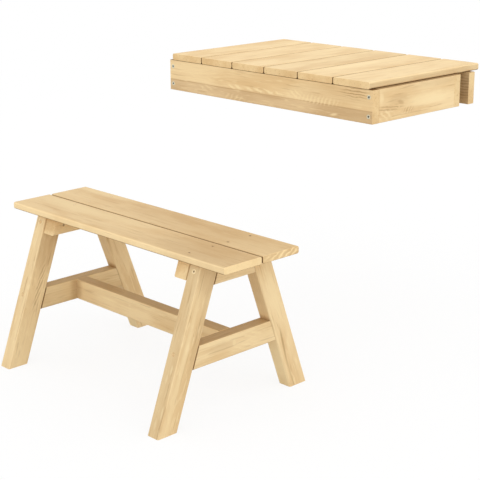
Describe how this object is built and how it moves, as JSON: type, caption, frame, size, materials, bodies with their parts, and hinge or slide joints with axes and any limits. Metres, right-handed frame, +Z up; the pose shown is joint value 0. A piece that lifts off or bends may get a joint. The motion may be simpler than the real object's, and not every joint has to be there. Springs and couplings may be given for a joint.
{
  "type": "kids table and bench set",
  "caption": "Children's pine set: a slatted table with no legs that hooks over a low wall by a slot behind its frame, and a splayed-leg bench that stands in front of it.",
  "frame": {"origin": "on the floor, under the middle of the set's box at rest", "axes": "+X along the bench to the right as a child faces the table, +Y from the bench to the table, +Z up"},
  "size_m": [0.64, 0.8812, 0.593],
  "materials": {
    "table_boards": "planed pine, clear matt",
    "table_frame": "planed pine, clear matt",
    "seat_boards": "planed pine, clear matt",
    "bench_frame": "planed pine, clear matt",
    "beech_dowels": "fluted beech, raw",
    "zinc_screws": "bright zinc plate"
  },
  "bodies": {
    "table": {"table_board_1": "table_boards", "table_board_2": "table_boards", "table_board_3": "table_boards", "table_board_4": "table_boards", "table_board_5": "table_boards", "table_board_6": "table_boards", "front_rail": "table_frame", "back_rail": "table_frame", "hook_rail": "table_frame", "left_end_rail": "table_frame", "right_end_rail": "table_frame", "front_cleat": "table_frame", "back_cleat": "table_frame", "frame_screws": "zinc_screws", "board_screws": "zinc_screws", "cleat_screws": "zinc_screws", "hook_rail_screws": "zinc_screws"},
    "bench": {"seat_board_front": "seat_boards", "seat_board_back": "seat_boards", "front_left_leg": "bench_frame", "back_left_leg": "bench_frame", "front_right_leg": "bench_frame", "back_right_leg": "bench_frame", "left_top_rail": "bench_frame", "left_lower_rail": "bench_frame", "left_batten": "bench_frame", "right_top_rail": "bench_frame", "right_lower_rail": "bench_frame", "right_batten": "bench_frame", "stretcher": "bench_frame", "seat_screws": "zinc_screws", "leg_screws": "zinc_screws", "batten_screws": "zinc_screws", "stretcher_dowels": "beech_dowels"}
  },
  "joints": [
    {"name": "bench_slide", "type": "slide", "parent": "table", "child": "bench", "axis": [0, 1, 0], "range_m": [-0.15, 0.4]}
  ]
}
